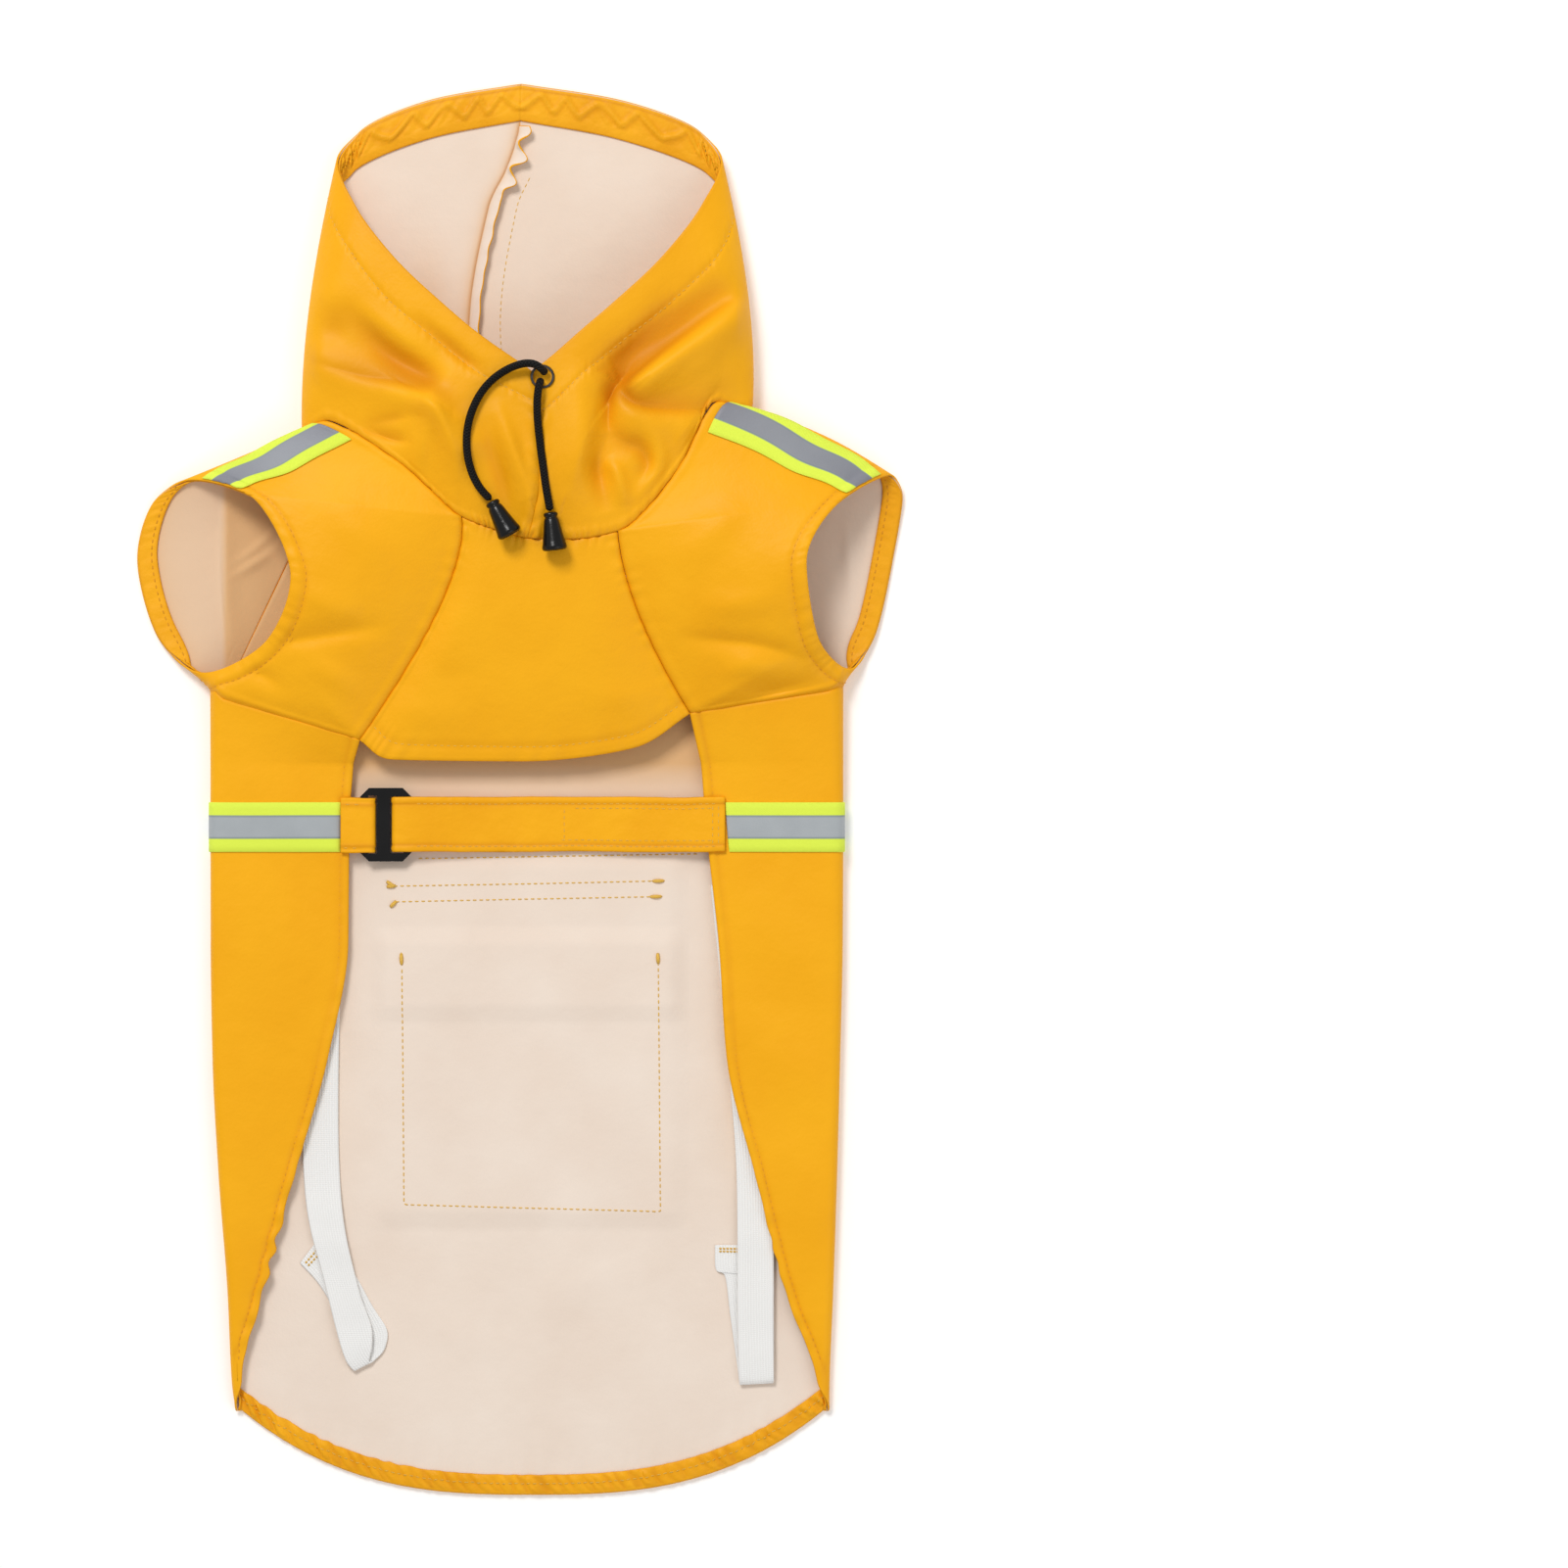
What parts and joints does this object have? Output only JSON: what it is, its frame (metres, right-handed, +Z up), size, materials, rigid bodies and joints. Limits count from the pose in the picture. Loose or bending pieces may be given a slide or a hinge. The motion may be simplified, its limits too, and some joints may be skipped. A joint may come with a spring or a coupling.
{
  "type": "dog raincoat",
  "caption": "Hooded dog raincoat laid flat with its belly side up: back panel that wraps the sides, cap sleeves, belt with slider, leg elastics, drawstring hood, reflective tape and a back pocket.",
  "frame": {"origin": "middle of the coat's outline, on the surface that it lies on", "axes": "+Z up from the surface, +Y from the hem to the hood, X across the coat"},
  "size_m": [0.3508, 0.6471, 0.0413],
  "materials": {
    "coated_cloth": "satin",
    "coated_cloth_turned_in": "satin",
    "reflective_tape": "satin",
    "black_plastic": "satin",
    "black_cord": "matte",
    "dark_metal": "satin",
    "white_elastic": "matte"
  },
  "bodies": {
    "root": {"body_panel": "coated_cloth", "hem_turn_up": "coated_cloth_turned_in", "chest_panel": "coated_cloth", "sleeve_left": "coated_cloth", "sleeve_right": "coated_cloth", "cuff_turn_up_left": "coated_cloth_turned_in", "cuff_turn_up_right": "coated_cloth_turned_in", "sleeve_tape_left": "reflective_tape", "sleeve_tape_right": "reflective_tape", "hood_left": "coated_cloth", "hood_right": "coated_cloth", "hood_casing_left": "coated_cloth_turned_in", "hood_casing_right": "coated_cloth_turned_in", "leg_elastic_left": "white_elastic", "leg_elastic_right": "white_elastic", "body_tape": "reflective_tape", "pocket_patch": "coated_cloth", "pocket_flap": "coated_cloth", "belt_tab": "coated_cloth", "belt_strap": "coated_cloth", "belt_slider": "black_plastic", "cord_curved": "black_cord", "cord_straight": "black_cord", "cord_end_curved": "black_plastic", "cord_end_straight": "black_plastic", "eyelet": "dark_metal"}
  },
  "joints": []
}
